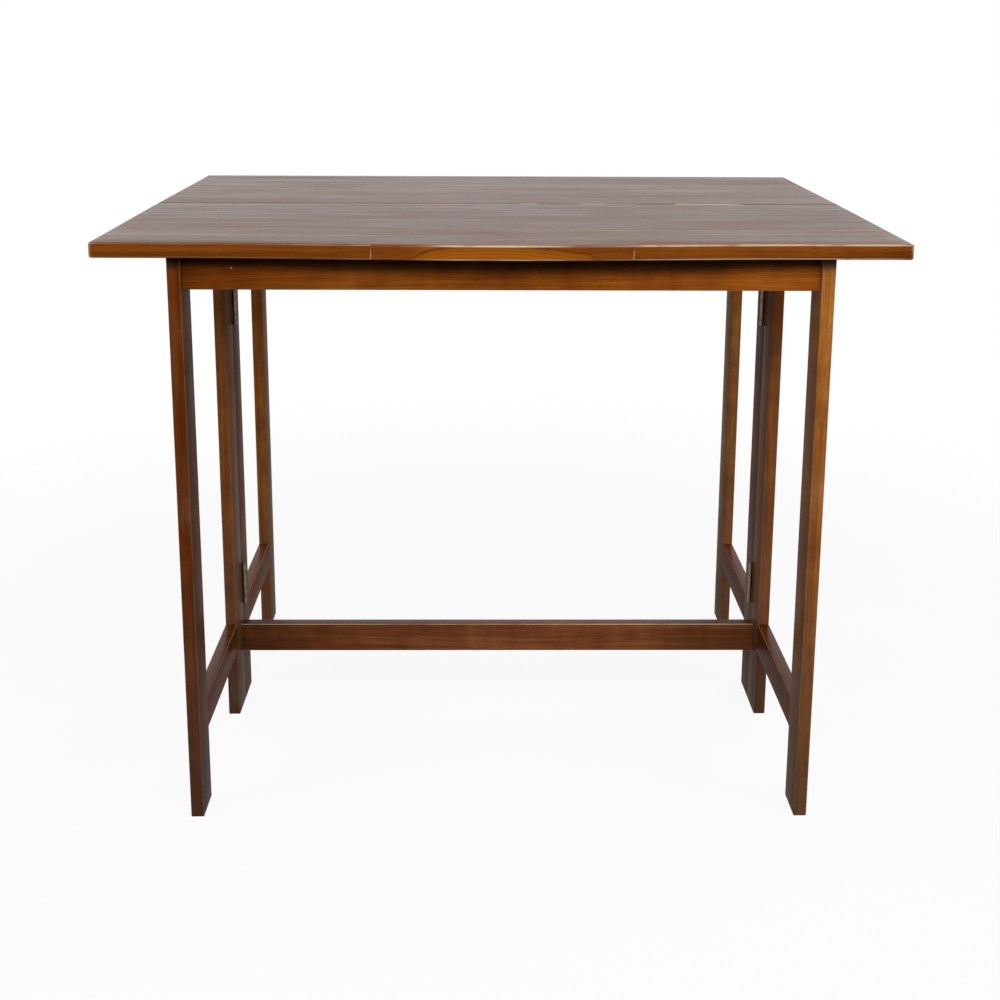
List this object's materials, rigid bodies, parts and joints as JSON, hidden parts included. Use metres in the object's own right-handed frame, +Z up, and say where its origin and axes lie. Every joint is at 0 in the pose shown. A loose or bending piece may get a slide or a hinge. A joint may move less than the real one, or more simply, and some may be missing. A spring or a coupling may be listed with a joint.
{
  "type": "folding console table",
  "caption": "Wooden console table whose top unfolds to double depth on end hinges, with gate legs that swing out from the back of the frame to carry the opened leaf.",
  "frame": {"origin": "on the floor under the middle of the seam, with the top opened out", "axes": "+X to the right along the seam, +Y from the front edge to the folding leaf's outer edge, +Z up"},
  "size_m": [0.985, 0.76, 0.765],
  "materials": {
    "stained_wood": "satin lacquer over brown stain",
    "edge_strip_wood": "satin lacquer over lighter stain",
    "bare_wood": "bare, planed",
    "hinge_brass": "aged brass",
    "screw_steel": "dull zinc"
  },
  "bodies": {
    "console_frame": {"back_leg_left": "stained_wood", "back_leg_right": "stained_wood", "back_rail": "stained_wood", "corner_blocks": "bare_wood", "front_apron": "stained_wood", "front_edge_insert": "edge_strip_wood", "front_leaf": "stained_wood", "front_leg_left": "stained_wood", "front_leg_right": "stained_wood", "gate_hinge_fixed_leaves": "hinge_brass", "gate_hinge_fixed_screws": "screw_steel", "gate_hinge_pins": "hinge_brass", "leaf_fixing_screws": "screw_steel", "leaf_hinge_front_plates": "hinge_brass", "leaf_hinge_front_screws": "screw_steel", "long_stretcher": "stained_wood", "side_rail_left": "stained_wood", "side_rail_right": "stained_wood", "side_stretcher_left": "stained_wood", "side_stretcher_right": "stained_wood"},
    "gate_left": {"gate_bottom_rail_left": "stained_wood", "gate_hinge_moving_leaves_left": "hinge_brass", "gate_hinge_moving_screws_left": "screw_steel", "gate_leg_left": "stained_wood", "gate_stile_left": "stained_wood", "gate_top_rail_left": "stained_wood"},
    "gate_right": {"gate_bottom_rail_right": "stained_wood", "gate_hinge_moving_leaves_right": "hinge_brass", "gate_hinge_moving_screws_right": "screw_steel", "gate_leg_right": "stained_wood", "gate_stile_right": "stained_wood", "gate_top_rail_right": "stained_wood"},
    "hinge_links": {"leaf_hinge_links": "hinge_brass", "leaf_hinge_pins": "hinge_brass"},
    "folding_leaf": {"leaf_hinge_rear_plates": "hinge_brass", "leaf_hinge_rear_screws": "screw_steel", "rear_leaf": "stained_wood"}
  },
  "joints": [
    {"name": "gate_left_swing", "type": "hinge", "parent": "console_frame", "child": "gate_left", "pos_m": [-0.3845, -0.0215, 0.4], "axis": [0, 0, -1], "range_deg": [0, 90]},
    {"name": "gate_right_swing", "type": "hinge", "parent": "console_frame", "child": "gate_right", "pos_m": [0.3845, -0.0215, 0.4], "axis": [0, 0, 1], "range_deg": [0, 90]},
    {"name": "link_turn", "type": "hinge", "parent": "console_frame", "child": "hinge_links", "pos_m": [0, -0.0035, 0.762], "axis": [1, 0, 0], "range_deg": [0, 90]},
    {"name": "leaf_turn", "type": "hinge", "parent": "hinge_links", "child": "folding_leaf", "pos_m": [0, 0.0035, 0.762], "axis": [1, 0, 0], "range_deg": [0, 90]}
  ]
}
